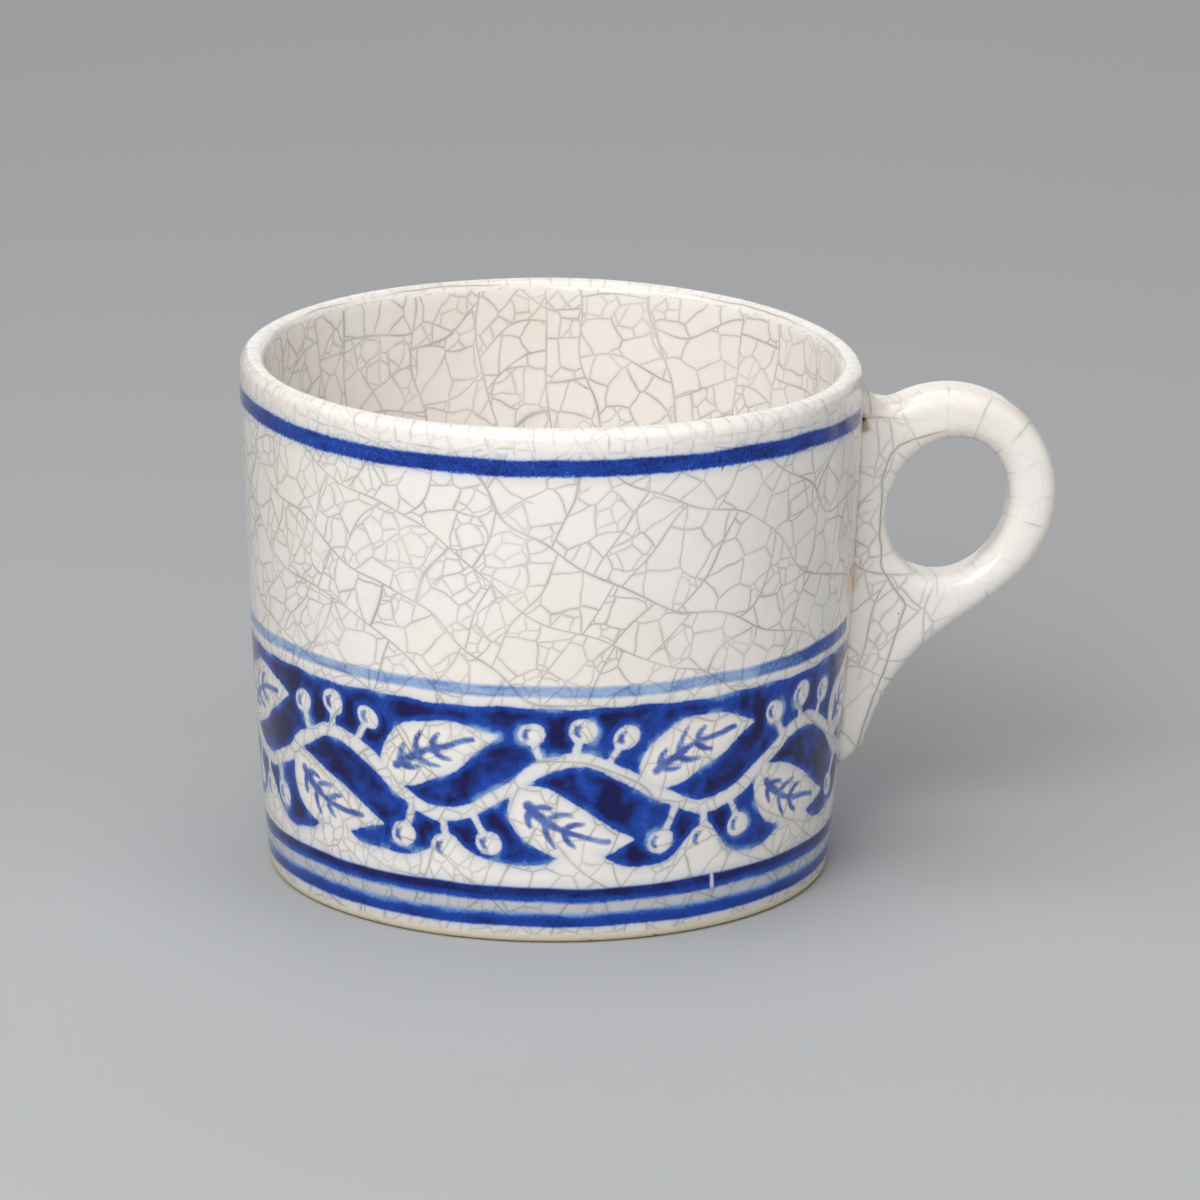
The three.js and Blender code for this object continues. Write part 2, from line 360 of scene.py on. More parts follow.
def vine(wave, repeats, hand):
    """A running stem with leaves and berries: strokes left white in the ground, and thin wash on them."""
    middle, swing, leaf_width, steps = 25.6, 4.9, 9.6, 14
    white, wash = [], []

    def stem(share):
        return middle + swing * math.sin(2 * math.pi * share)

    for i in range(repeats):
        start = i * wave

        def at(share, height, start=start):
            return (start + wave * share + hand.uniform(-0.4, 0.4), height + hand.uniform(-0.35, 0.35))

        shares = [k / steps for k in range(steps + 1)]
        white.append(([(start + wave * share, stem(share)) for share in shares], [1.1] * (steps + 1)))
        # Each leaf leaves the stem at its foot and bends by its pull to its tip.
        for foot, pull, tip in (
            (0.52, (0.56, 31.6), (0.96, 33.6)),
            (0.03, (0.06, 17.6), (0.47, 17.0)),
        ):
            blade, veins = leaf((start + wave * foot, stem(foot)), at(*pull), at(*tip), leaf_width)
            white.append(blade)
            wash += veins
        # Each berry hangs on a stalk from its foot on the stem.
        for foot, share, height, size in (
            (0.12, 0.08, 34.2, 1.9), (0.24, 0.25, 35.0, 2.1), (0.36, 0.42, 33.8, 1.9),
            (0.62, 0.57, 16.4, 2.0), (0.74, 0.74, 15.2, 2.3), (0.86, 0.9, 16.6, 2.0),
        ):
            x, y = at(share, height)
            white.append(([(x, y), (x + 0.01, y)], [size, size]))
            white.append(([(start + wave * foot, stem(foot)), (x, y)], [0.6, 0.5]))
            turns = (math.radians(angle) for angle in (110, 155, 200, 245))
            crescent = [(x + size * 0.5 * math.cos(turn), y + size * 0.5 * math.sin(turn)) for turn in turns]
            wash.append((crescent, [0.26, 0.44, 0.44, 0.26]))
    return white, wash


def paint_border(cup, sizes, border):
    """Writes how far each point of the skin is from the ground and from the wash, in millimetres."""
    points = mesh_points(cup)
    angle, radius = polar(points)
    z = points[:, 2] / MM
    middle_height, half_wall = 25 * MM, 2.4 * MM
    reference = float(side_radius(middle_height, sizes)) / MM
    around = 2 * math.pi * reference
    s = (angle % (2 * math.pi)) * reference
    outside = radius > side_radius(points[:, 2], sizes) - half_wall
    shown = outside & (z > 5) & (z < 44)
    s, z_here = s[shown], z[shown]
    s = s + 0.3 * np.sin(z_here * 0.5 + s * 0.11) + 0.15 * np.sin(s * 0.9 + 1.3)
    z_here = z_here + 0.3 * np.sin(s * 0.23 + 0.5) + 0.15 * np.sin(s * 0.71 + z_here * 0.4)

    wave = around / border.repeats
    white, wash = vine(wave, border.repeats, random.Random(7))
    reserve = nearest_stroke(s, z_here, white, around)
    strokes = nearest_stroke(s, z_here, wash, around)
    top = border.ground_top / MM + 0.15 * np.sin(s * 0.31) + 0.1 * np.sin(s * 0.83)
    lobes = np.abs(np.cos(2 * math.pi * s / wave))
    low = border.ground_low / MM + 0.5 * np.sin(s * 0.37 + 1)
    low += 6.2 * (1.01 - np.sqrt(lobes ** 2 + 0.015)) ** 1.5
    ground = np.maximum(np.maximum(points[shown, 2] / MM - top, (low - z_here) * 0.8), -reserve)
    strokes = np.maximum(strokes, reserve + 0.3)
    for name, values in (("ground", ground), ("wash", strokes)):
        everywhere = np.full(len(points), 9.0)
        everywhere[shown] = np.clip(values, -9, 9)
        write_attribute(cup, name, everywhere)


def write_skin_map(cup, sizes):
    """A UV map in millimetres: round the cup, and along the skin from the foot over the lip to the floor."""
    points = mesh_points(cup)
    angle, radius = polar(points)
    z = points[:, 2]
    lip = sizes.lip / 2
    lip_z = sizes.height - lip
    over_lip = np.arctan2(z - lip_z, radius - (sizes.rim_radius - lip))
    inner = (radius < side_radius(z, sizes) - lip) & (z > sizes.floor * 0.6)
    floor_reach = np.clip(sizes.rim_radius * 0.75 - radius, 0, None) * smooth_step(18 * MM, 8 * MM, z)
    skin = np.where(inner, lip_z + math.pi * lip + (lip_z - z) + floor_reach, z)
    skin = np.where(z > lip_z, lip_z + np.clip(over_lip, 0, math.pi) * lip, skin)

    corners = np.empty(len(cup.data.loops), dtype=np.int64)
    cup.data.loops.foreach_get("vertex_index", corners)
    starts, totals = (np.empty(len(cup.data.polygons), dtype=np.int64) for _ in range(2))
    cup.data.polygons.foreach_get("loop_start", starts)
    cup.data.polygons.foreach_get("loop_total", totals)
    face = np.repeat(np.arange(len(starts)), totals)
    angle = angle[corners]
    highest, lowest = np.full(len(starts), -9.0), np.full(len(starts), 9.0)
    np.maximum.at(highest, face, angle)
    np.minimum.at(lowest, face, angle)
    across_the_ends = (highest - lowest > math.pi)[face]
    angle = np.where(across_the_ends & (angle < 0), angle + 2 * math.pi, angle)
    uv = np.stack([angle * sizes.rim_radius, skin[corners]], axis=1) / MM
    layer = cup.data.uv_layers.new(name="skin")
    layer.data.foreach_set("uv", uv.astype(np.float32).ravel())


def finish_piece(obj, name, node, material):
    """Names the finished piece, gives it its material, attaches it to the root body and hides the imported
    part it replaces.
    """
    select_only(obj)
    bpy.ops.object.shade_smooth_by_angle(angle=math.radians(50))
    obj.name = name
    obj.data.name = name
    obj.data.materials.clear()
    obj.data.materials.append(material)
    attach(obj, "root")
    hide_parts(node)


class Wire:
    """A shader socket that Python's operators act on."""

    def __init__(self, finish, socket):
        self.finish = finish
        self.socket = socket

    def __add__(self, other):
        return self.finish.math("ADD", self, other)

    def __sub__(self, other):
        return self.finish.math("SUBTRACT", self, other)

    def __mul__(self, other):
        return self.finish.math("MULTIPLY", self, other)

    def __truediv__(self, other):
        return self.finish.math("DIVIDE", self, other)

    def __rsub__(self, other):
        return self.finish.math("SUBTRACT", other, self)

    def __abs__(self):
        return self.finish.math("ABSOLUTE", self)

    __radd__ = __add__
    __rmul__ = __mul__


class Finish:
    """A material whose nodes are written as expressions on wires."""

    def __init__(self, name, **constants):
        self.material = bpy.data.materials.new(name)
        self.material.use_nodes = True
        self.tree = self.material.node_tree
        self.tree.nodes.clear()
        output = self.tree.nodes.new("ShaderNodeOutputMaterial")
        self.shader = self.tree.nodes.new("ShaderNodeBsdfPrincipled")
        self.tree.links.new(self.shader.outputs["BSDF"], output.inputs["Surface"])
        for socket, value in constants.items():
            self.shader.inputs[socket.replace("_", " ")].default_value = value

    def node(self, kind, settings=None, inputs=None, output=0):
        """Makes a node: its settings first, then the values or wires of its sockets."""
        node = self.tree.nodes.new(kind)
        for name, value in (settings or {}).items():
            setattr(node, name, value)
        for name, value in (inputs or {}).items():
            socket = node.inputs[name]
            if isinstance(value, Wire):
                self.tree.links.new(value.socket, socket)
            elif socket.type == "RGBA":
                socket.default_value = (*value, 1)
            else:
                socket.default_value = value
        return Wire(self, node.outputs[output])

    def math(self, operation, *values):
        return self.node("ShaderNodeMath", {"operation": operation}, dict(enumerate(values)))

    def vector(self, operation, *values):
        output = "Value" if operation in ("DISTANCE", "DOT_PRODUCT") else "Vector"
        return self.node("ShaderNodeVectorMath", {"operation": operation}, dict(enumerate(values)), output)

    def larger(self, first, *others):
        for other in others:
            first = self.math("MAXIMUM", first, other)
        return first

    def smaller(self, first, second):
        return self.math("MINIMUM", first, second)

    def scaled(self, vector, factor):
        return self.node("ShaderNodeVectorMath", {"operation": "SCALE"}, {0: vector, "Scale": factor})

    def part(self, vector, axis):
        return self.node("ShaderNodeSeparateXYZ", {}, {0: vector}, axis)

    def step(self, value, low, high, start=0.0, end=1.0):
        """Goes smoothly from start to end as the value goes from low to high."""
        inputs = {"Value": value, "From Min": low, "From Max": high, "To Min": start, "To Max": end}
        return self.node("ShaderNodeMapRange", {"interpolation_type": "SMOOTHSTEP"}, inputs)

    def mix(self, factor, first, second):
        return self.node("ShaderNodeMix", {"data_type": "RGBA"}, {0: factor, 6: first, 7: second}, 2)

    def darkened(self, colour, share, tint):
        """The colour, with a share of it multiplied by a tint."""
        return self.mix(share, colour, self.vector("MULTIPLY", colour, tint))

    def shades(self, tone, pale, middle, deep):
        """Pale at a tone of 0, through middle at a half, to deep at 1."""
        light = self.mix(self.step(tone, 0.0, 0.5), pale, middle)
        return self.mix(self.step(tone, 0.5, 1.0), light, deep)

    def noise(self, vector, scale, detail, output="Fac"):
        inputs = {"Vector": vector, "Scale": scale, "Detail": detail}
        return self.node("ShaderNodeTexNoise", {}, inputs, output)

    def voronoi(self, feature, dimensions, output, inputs):
        settings = {"voronoi_dimensions": dimensions, "feature": feature}
        return self.node("ShaderNodeTexVoronoi", settings, inputs, output)

    def attribute(self, name):
        return self.node("ShaderNodeAttribute", {"attribute_name": name}, {}, "Fac")

    def bump(self, height, distance, strength):
        inputs = {"Height": height, "Distance": distance, "Strength": strength}
        return self.node("ShaderNodeBump", {}, inputs, "Normal")

    def set(self, socket, value):
        target = self.shader.inputs[socket]
        if isinstance(value, Wire):
            self.tree.links.new(value.socket, target)
        else:
            target.default_value = value


def skin_millimetres(finish):
    """The cup's skin map: X round the rim, and Y from the foot over the lip to the floor."""
    return finish.node("ShaderNodeTexCoord", {}, {}, "UV")


def warped(finish, place, size, reach):
    """The place, strayed by a slow noise, so that what follows it runs in curves."""
    stray = finish.noise(place, 1 / size, 1.0, "Color")
    centred = finish.vector("SUBTRACT", stray, (0.5, 0.5, 0.5))
    return finish.vector("ADD", place, finish.scaled(centred, 2 * reach))


def crack_lines(finish, distance, depth, width, strength):
    """Dark where a crack is nearer than its width, with a faint haze beside it."""
    core = finish.step(distance, 0.0, width, 0.8, 0.0)
    haze = finish.step(distance, 0.0, width * 3, 0.2, 0.0)
    return (core + haze) * depth * strength


def side_by_side(finish, flat, turn, gap, shift=0):
    """Cracks that run side by side: the distance to the nearest, and a chance value for each strip."""
    angle = finish.math("MULTIPLY", turn, math.pi / 180)
    across = {"X": finish.math("COSINE", angle), "Y": finish.math("SINE", angle)}
    across = finish.node("ShaderNodeCombineXYZ", {}, across)
    run = {"W": finish.vector("DOT_PRODUCT", flat, across) / gap + 45 + shift, "Scale": 1.0}
    edge = finish.voronoi("DISTANCE_TO_EDGE", "1D", "Distance", run) * gap
    return edge, finish.voronoi("F1", "1D", "Color", run)


def cells(finish, flat, piece, size):
    """Cracks round compact cells, laid and turned anew in each piece.

    Gives the distance to the nearest, and a chance value for each cell.
    """
    turn = finish.part(piece, "Y") * 1.5
    laid = finish.node("ShaderNodeVectorRotate", {"rotation_type": "Z_AXIS"}, {"Vector": flat, "Angle": turn})
    laid = finish.vector("MULTIPLY", finish.vector("ADD", laid, finish.scaled(piece, 90)), (1, 0.8, 1))
    inputs = {"Vector": laid, "Scale": 1 / size, "Randomness": 0.62}
    edge = finish.voronoi("DISTANCE_TO_EDGE", "2D", "Distance", inputs) * size
    shade = finish.voronoi("F1", "2D", "Color", inputs)
    return edge, finish.vector("FRACTION", finish.vector("ADD", piece, shade))


def crackle(finish, flat, turns, gap, width):
    """Long curved cracks, shorter ones across the strips between them, and cells, some of them split.

    Each piece has a chance value that lays its own cracks anew, so they end at the cracks round it.
    """
    depth = finish.step(finish.noise(flat, 0.12, 2.0), 0.3, 0.68, 0.55, 1.0)
    curved = warped(finish, flat, 27, 9.5)
    lines, piece = 0, (0, 0.2, 0.7)
    for turn, share in zip(turns, (1.0, 0.85)):
        edge, shade = side_by_side(finish, curved, turn, gap * share, finish.part(piece, "X") * 7)
        lines = finish.larger(lines, crack_lines(finish, edge, depth, width, 0.8))
        piece = finish.vector("FRACTION", finish.vector("ADD", piece, shade))
    strayed = warped(finish, flat, 5, 1.0)
    edge, piece = cells(finish, strayed, piece, gap * 0.4)
    lines = finish.larger(lines, crack_lines(finish, edge, depth, width * 0.88, 0.66))
    # More of the cells are split on the side away from the handle.
    split_share = finish.step(finish.part(flat, "X"), -95, -65, 0.62, 0.28)
    split = finish.step(finish.part(piece, "X"), split_share - 0.02, split_share, 1.0, 0.0)
    edge, _ = cells(finish, strayed, piece, gap * 0.25)
    return finish.larger(lines, crack_lines(finish, edge, depth, width * 0.88, split * 0.54))


def stained(finish, place, start, end, reach):
    """1 along the line between two points, falling to 0 past its reach, with a ragged edge."""
    along = Vector(end) - Vector(start)
    share = finish.vector("DOT_PRODUCT", finish.vector("SUBTRACT", place, start), tuple(along))
    share = finish.smaller(finish.larger(share / along.length_squared, 0.0), 1.0)
    away = finish.vector("DISTANCE", place, finish.vector("ADD", start, finish.scaled(tuple(along), share)))
    ragged = away + (finish.noise(place, 1.1, 3.0) - 0.5) * reach * 1.2
    return finish.step(ragged, reach * 0.3, reach * 1.1, 1.0, 0.0)


def specks(finish, place):
    """A few dark iron specks in the glaze."""
    cell = 5.0
    inputs = {"Vector": place, "Scale": 1 / cell}
    distance = finish.voronoi("F1", "3D", "Distance", inputs) * cell
    shade = finish.voronoi("F1", "3D", "Color", inputs)
    chance = finish.node("ShaderNodeSeparateColor", {}, {"Color": shade}, "Red")
    rare = finish.step(chance, 0.9, 0.93)
    return finish.step(distance, 0.1, 0.26, 1.0, 0.0) * rare


def glaze_finish(name, colours, cracks_of, border=None):
    """The white glaze with its cracks, specks and stains, over the cup's paint if there is a border."""
    finish = Finish(name, IOR=1.45, Specular_IOR_Level=0.4)
    place = finish.scaled(finish.node("ShaderNodeTexCoord", {}, {}, "Object"), 1 / MM)
    tint = finish.noise(place, 0.035, 3.0)
    warm = tuple(value * share for value, share in zip(colours.white, (0.97, 0.955, 0.92)))
    base = finish.mix(finish.step(tint, 0.35, 0.7), colours.white, warm)
    mottled = finish.step(finish.noise(place, 0.42, 3.0), 0.42, 0.68) * 0.5
    base = finish.darkened(base, mottled, (0.965, 0.95, 0.94))
    roughness = 0.12
    lines = finish.smaller(cracks_of(finish, place), 1.0)
    if border:
        base, bare, hidden = paint_cup(finish, place, base, colours, border)
        roughness = 0.12 + bare * 0.5
        lines = lines * (1 - hidden)
    base = finish.darkened(base, lines * 0.72, colours.crack)
    for start, end, reach, strength, shade in MARKS:
        base = finish.mix(stained(finish, place, start, end, reach) * strength, base, linear(*shade))
    base = finish.mix(specks(finish, place) * 0.8, base, linear(84, 66, 44))
    finish.set("Base Color", base)
    finish.set("Roughness", roughness)
    slow = finish.noise(place, 0.12, 2.0)
    fine = finish.noise(place, 0.9, 2.0)
    finish.set("Normal", finish.bump(slow + fine * 0.12 - lines * 0.02, 0.22 * MM, 0.7))
    return finish.material


def cup_cracks(finish, place):
    """The body's crackle, with upright cracks inside the cup, and the crosswise cracks of the lip."""
    skin = skin_millimetres(finish)
    height = finish.part(skin, "Y")
    rim = CUP_HIGH.z / MM
    inside = finish.step(height, rim + 2, rim + 4)
    body = crackle(finish, skin, (62 - inside * 56, -30 - inside * 50), 12.0, 0.27)
    # An upright crack where the map's two ends meet, so that no other crack breaks off there.
    meeting = abs(abs(finish.part(skin, "X")) - math.pi * CUP_HIGH.x / MM)
    body = finish.larger(body, crack_lines(finish, meeting, 0.9, 0.3, 0.75))
    depth = finish.step(finish.noise(skin, 0.3, 2.0), 0.36, 0.62, 0.1, 1.0)
    edge, _ = side_by_side(finish, warped(finish, skin, 6.0, 1.5), 6, 3.4)
    crest = abs(height - (rim + 2.7) + (finish.noise(skin, 0.08, 2.0) - 0.5) * 1.6)
    brow = abs(height - (rim - 3.4) + (finish.noise(skin, 0.06, 3.0) - 0.5) * 7)
    long_ones = finish.step(finish.noise(skin, 0.04, 1.0), 0.4, 0.6, 0.2, 1.0)
    lip = finish.larger(
        crack_lines(finish, edge, depth, 0.3, 0.5),
        crack_lines(finish, crest, long_ones, 0.28, 0.8),
        crack_lines(finish, brow, depth * long_ones, 0.32, 0.65),
    )
    on_lip = finish.step(abs(height - (rim - 0.2)), 3.2, 4.0, 1.0, 0.0)
    return finish.larger(body * (1 - on_lip * 0.55), lip * on_lip)


def handle_cracks(finish, place):
    """The handle's crackle: a network at the wall and in the tail, and cracks across the ring."""
    x, y, z = (finish.part(place, axis) for axis in "XYZ")
    side = finish.node("ShaderNodeCombineXYZ", {}, {"X": x + y * 0.25, "Y": z, "Z": y * 0.7})
    near = finish.step(x + finish.step(z, 40, 52) * 8, 58, 66, 1.0, 0.0)
    network = crackle(finish, side, (66, -24), 17.0, 0.28) * (0.14 + near * 0.76)
    depth = finish.step(finish.noise(place, 0.2, 1.0), 0.42, 0.6)
    turn = finish.math("ARCTAN2", z - RING_Z, x - RING_X)
    round_ring = finish.node("ShaderNodeCombineXYZ", {}, {"X": turn * 16, "Y": y})
    edge, _ = side_by_side(finish, warped(finish, round_ring, 6.0, 1.6), 10, 6.2)
    ring = crack_lines(finish, edge, depth, 0.3, 0.46)
    seam = abs(finish.attribute("seam_crack") + (finish.noise(place, 0.25, 2.0) - 0.5) * 1.0)
    seam = crack_lines(finish, seam, finish.step(z, 69.2, 70.4, 1.0, 0.0), 0.27, 0.85)
    return finish.larger(network, ring, seam)


def painted_line(z, middle, width):
    """How far inside a painted line: above 0 in the line, in millimetres."""
    return width / MM / 2 - abs(z - middle / MM)


def bled(finish, z, painted, base, colours, border):
    """Cobalt bled into the glaze beside the paint, with painted shade towards the foot and between the base
    lines.
    """
    # Painted shade: the glaze is darkened towards the foot.
    painted_foot_shade = finish.step(z, 3.5, 12, 0.85, 0.0)
    base = finish.darkened(base, painted_foot_shade, (0.83, 0.82, 0.79))
    halo = finish.step(painted, -2.0, 0.1) * 0.32 + finish.step(painted, -0.6, 0.1) * 0.38
    between = abs(z - (border.base_line + border.foot_line) / 2 / MM)
    halo = finish.larger(halo, finish.step(between, 0.7, 1.8, 0.42, 0.0))
    base = finish.mix(halo, base, colours.bleed)
    # Painted shade: the strip between the base lines is darkened towards grey.
    return finish.mix(finish.step(between, 0.9, 1.8, 0.34, 0.0), base, linear(150, 153, 160))


def bare_foot(finish, place, z, base, colours):
    """Clay below the glaze's edge, worn dark in places. Gives the colour, and where it is bare."""
    edge = 1.5 + (finish.noise(place, 0.16, 2.0) - 0.5) * 0.8
    bare = finish.step(z - edge, -0.1, 0.1, 1.0, 0.0)
    sand = finish.mix(finish.noise(place, 1.4, 4.0), colours.clay, linear(204, 193, 166))
    worn = finish.step(finish.noise(place, 0.7, 3.0) + z * 0.1, 0.3, 0.38, 1.0, 0.0)
    sand = finish.mix(worn * 0.85, sand, linear(88, 78, 66))
    return finish.mix(bare, base, sand), bare


def paint_cup(finish, place, base, colours, border):
    """Lays the cobalt lines, the leaf border, painted shade near the foot and the bare foot over the glaze's
    colour.

    Gives the colour, where the clay is bare, and how far paint or bare clay hides the cracks.
    """
    skin = skin_millimetres(finish)
    z = finish.part(skin, "Y")
    x = finish.part(place, "X")
    drift = (finish.noise(place, 0.07, 1.0) - 0.5) * 1.1
    ragged = (finish.noise(place, 1.2, 2.0) - 0.5) * 0.35
    grit = (finish.noise(place, 4.2, 1.0) - 0.5) * 0.55
    grain = finish.noise(place, 2.4, 3.0) - 0.5
    stretched = finish.node("ShaderNodeMapping", {}, {"Vector": place, "Scale": (1.0, 1.0, 3.2)})
    streaks = finish.noise(stretched, 0.16, 3.0) - 0.5
    stray = drift + ragged * 0.3
    strayed = z + stray
    beside = abs(finish.part(place, "Y")) + finish.step(x, 0, -1) * CUP_HIGH.x * 2 / MM + drift
    by_handle = finish.step(x, 22, 42)

    # How far inside each painted area, in millimetres. Below 0 is outside.
    top = painted_line(strayed + finish.step(x, 36, 49) * 0.9, border.top_line, border.top_line_width)
    top = finish.smaller(top, (beside - LINES_END) * 0.45) + ragged * 0.9 + grit * 0.75
    middle = painted_line(strayed, border.middle_line, border.middle_line_width) + by_handle * 0.3
    middle = finish.smaller(middle, beside - LINES_END) + ragged * 0.8 + grit * 0.3
    base_line = painted_line(strayed, border.base_line, border.base_line_width)
    lifted = abs(finish.part(skin, "X") - BRUSH_LIFTED + (z - border.base_line / MM) * 0.12) + grit * 0.3
    base_line = finish.smaller(base_line, lifted - 0.34)
    foot_line = painted_line(z + stray * 0.8, border.foot_line, border.base_line_width)
    strong = finish.larger(top, finish.larger(base_line, foot_line) + ragged * 0.5 + grit * 0.12)
    ground = finish.smaller(0 - finish.attribute("ground"), beside - GROUND_ENDS) + ragged + grit * 0.25
    wash = ragged * 0.5 - finish.attribute("wash")
    painted = finish.larger(strong, ground)
    # Cobalt bled beside the paint, and painted shade towards the foot and between the base lines.
    base = bled(finish, z, painted, base, colours, border)

    # How strong the cobalt is in each: 0 is pale, 0.5 is one stroke and 1 is strokes over each other.
    low = finish.step(z, 20, 21, 1.0, 0.0)
    upper = finish.step(z, 5.9, 6.2)
    in_line = strayed - border.foot_line / MM - upper * ((border.base_line - border.foot_line) / MM)
    slant = finish.step(in_line * (upper * 2 - 1), -1.0, 0.3, -0.22, 0.2) * low
    line_tone = 0.24 + upper * 0.17 + slant + streaks * 0.7 + grain * (0.95 - low * 0.6)
    line_tone = line_tone + finish.step(strong, 0.0, 0.5) * 0.25
    brushed = finish.noise(warped(finish, place, 9.0, 4.0), 0.17, 2.0) - 0.5
    ground_tone = 0.42 + finish.step(ground, 0.0, 1.5) * 0.42 + brushed * 1.7 + streaks * 0.3 + grain * 0.2
    wash_tone = 0.26 + streaks * 0.9 + finish.step(wash, 0.0, 0.5) * 0.16
    middle_tone = 0.1 + streaks * 0.5 + grain * 0.4 + by_handle * 0.34
    pale = finish.smaller(0.87 + streaks * 0.5 + by_handle * 0.3, 1.0)

    blues = (colours.cobalt_pale, colours.cobalt_mid, colours.cobalt_deep)
    for inside, soft, cover, tone in (
        (middle, 0.4, pale, middle_tone), (wash, 0.25, 0.92, wash_tone),
        (ground, 0.18, 1.0, ground_tone), (strong, 0.22, 1.0, line_tone),
    ):
        base = finish.mix(finish.step(inside, -soft, soft) * cover, base, finish.shades(tone, *blues))
    base, bare = bare_foot(finish, place, z, base, colours)
    return base, bare, finish.larger(bare, finish.step(painted, -0.2, 0.2) * 0.4)


class MUG_OT_cup(bpy.types.Operator):
    """Throw the cup and give it its skin map"""

    bl_idname = "mug.cup"
    bl_label = "Throw the cup"

    def execute(self, context):
        sizes = context.scene.mug_cup
        border = context.scene.mug_border
        cup = turned(cup_profile(sizes), sizes.segments)
        apply_modifier(cup, "SUBSURF", levels=2, render_levels=2)
        write_skin_map(cup, sizes)
        paint_border(cup, sizes, border)
        set_points(cup, wobble(mesh_points(cup), sizes))
        material = glaze_finish("glazed_cup", context.scene.mug_colours, cup_cracks, border)
        finish_piece(cup, "cup", "cup_body", material)
        return {"FINISHED"}


def ring_place(cup, handle):
    """Middle of the ring and of the neck's hollow curve, in X and Z, and where the two curves meet."""
    radius = handle.ring_diameter / 2
    middle = (HANDLE_HIGH.x - radius, cup.height - handle.ring_drop)
    neck_x = float(side_radius(cup.height, cup)) + handle.neck
    rise = math.sqrt((radius + handle.neck) ** 2 - (middle[0] - neck_x) ** 2)
    neck = (neck_x, middle[1] + rise)
    return middle, neck, math.degrees(math.atan2(rise, neck_x - middle[0]))


def handle_outlines(cup, handle):
    """The handle's outline and its hole, as points in X and Z. The back runs inside the wall."""
    middle, neck, neck_angle = ring_place(cup, handle)
    radius = handle.ring_diameter / 2
    leave = math.radians(RING_LEAVES)
    heading = math.radians(253.4)
    start = Vector((middle[0] + radius * math.cos(leave), middle[1] + radius * math.sin(leave)))
    end_x = float(side_radius(handle.tail_height, cup)) + handle.tail_standoff
    end = Vector((end_x, handle.tail_height))
    size = (end - start).length
    start_pull = start + Vector((math.sin(leave), -math.cos(leave))) * size * 0.37
    end_pull = end - Vector((math.cos(heading), math.sin(heading))) * size * 0.5
    tip_radius = handle.edge + 0.5 * MM
    tip = (end.x + tip_radius * math.sin(heading), end.y - tip_radius * math.cos(heading))
    wall_x = neck[0] - handle.neck
    back_x = wall_x - 9 * MM
    outline = [
        (back_x, neck[1] + 5 * MM),
        (wall_x - 2 * MM, neck[1] + 5 * MM),
        (wall_x, neck[1]),
        *arc(*neck, handle.neck, 180, 180 + neck_angle, 12),
        *arc(*middle, radius, neck_angle, RING_LEAVES, 64),
        *bezier((start, start_pull, end_pull, end), 26)[1:],
        *arc(*tip, tip_radius, math.degrees(heading) + 90 - 360, -90, 8),
        (back_x, tip[1] - tip_radius),
    ]
    lean = -handle.hole_lean
    aside = radius - handle.hole_width / 2 - handle.side
    along = radius - handle.hole_length / 2 - handle.crown
    hole = []
    for i in range(72):
        angle = 2 * math.pi * i / 72
        u = aside + handle.hole_width / 2 * math.cos(angle)
        v = along + handle.hole_length / 2 * math.sin(angle)
        hole.append((
            middle[0] + u * math.cos(lean) - v * math.sin(lean),
            middle[1] + u * math.sin(lean) + v * math.cos(lean),
        ))
    return outline, hole


def press_handle(cup, handle):
    """The handle's clay: its outline as a flat curve with rounded edges, stood upright."""
    curve = bpy.data.curves.new("handle_clay", "CURVE")
    curve.dimensions = "2D"
    curve.fill_mode = "BOTH"
    curve.extrude = handle.width / 2 - handle.edge
    curve.bevel_depth = handle.edge
    curve.offset = -handle.edge
    curve.bevel_resolution = 6
    for points in handle_outlines(cup, handle):
        spline = curve.splines.new("POLY")
        spline.points.add(len(points) - 1)
        for knot, (x, z) in zip(spline.points, points):
            knot.co = (x, z, 0, 1)
        spline.use_cyclic_u = True
    clay = bpy.data.objects.new("handle_clay", curve)
    link(clay)
    select_only(clay)
    bpy.ops.object.convert(target="MESH")
    clay = bpy.context.active_object
    clay.rotation_euler = (math.pi / 2, 0, 0)
    apply_placing()
    bpy.ops.object.mode_set(mode="EDIT")
    bpy.ops.mesh.select_all(action="SELECT")
    bpy.ops.mesh.remove_doubles(threshold=1e-6)
    bpy.ops.mesh.normals_make_consistent(inside=False)
    bpy.ops.object.mode_set(mode="OBJECT")
    return clay


def wall_former(cup, growth, low, high):
    """A solid that fills the cup out to its wall, grown or shrunk, to lean on or to cut with."""
    heights = np.linspace(low, high, 26)
    rings = [(float(side_radius(z, cup)) + growth, float(z)) for z in heights]
    return turned([(2 * MM, low), *rings, (2 * MM, high)], 360)


def boolean(obj, other, operation):
    apply_modifier(obj, "BOOLEAN", object=other, operation=operation, solver="MANIFOLD")
    bpy.data.objects.remove(other, do_unlink=True)


